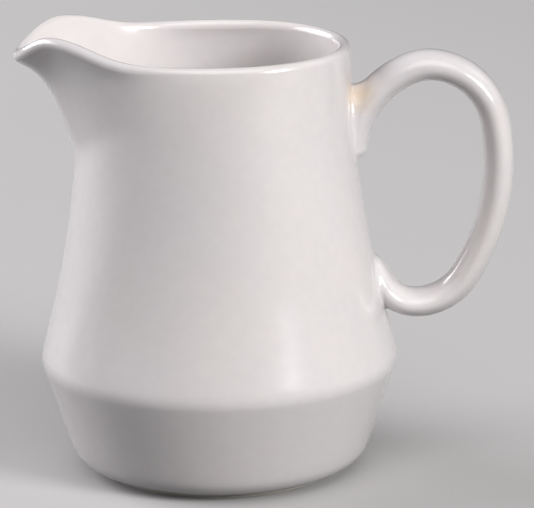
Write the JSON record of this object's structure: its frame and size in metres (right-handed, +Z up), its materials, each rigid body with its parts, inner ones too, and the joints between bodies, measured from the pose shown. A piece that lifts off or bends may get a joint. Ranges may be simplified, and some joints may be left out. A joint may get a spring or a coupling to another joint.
{
  "type": "porcelain cream jug",
  "caption": "Small white glazed porcelain cream jug with a tapered body, drawn-out pouring lip, rounded shoulder, loop handle and standing ring.",
  "frame": {"origin": "on the surface the jug stands on, midway between the tip of the lip and the back of the handle, and midway across the body", "axes": "+Z up, +X from the pouring lip towards the handle, +Y across the body; the body's own axis is parallel to Z at x = -11.1 mm"},
  "size_m": [0.1138, 0.082, 0.1034],
  "materials": {
    "glazed_porcelain": "gloss",
    "bare_biscuit": "matte"
  },
  "bodies": {
    "root": {"jug_body": "glazed_porcelain", "foot_ring": "bare_biscuit", "handle": "glazed_porcelain", "upper_slip_joint": "glazed_porcelain", "lower_slip_joint": "glazed_porcelain"}
  },
  "joints": []
}
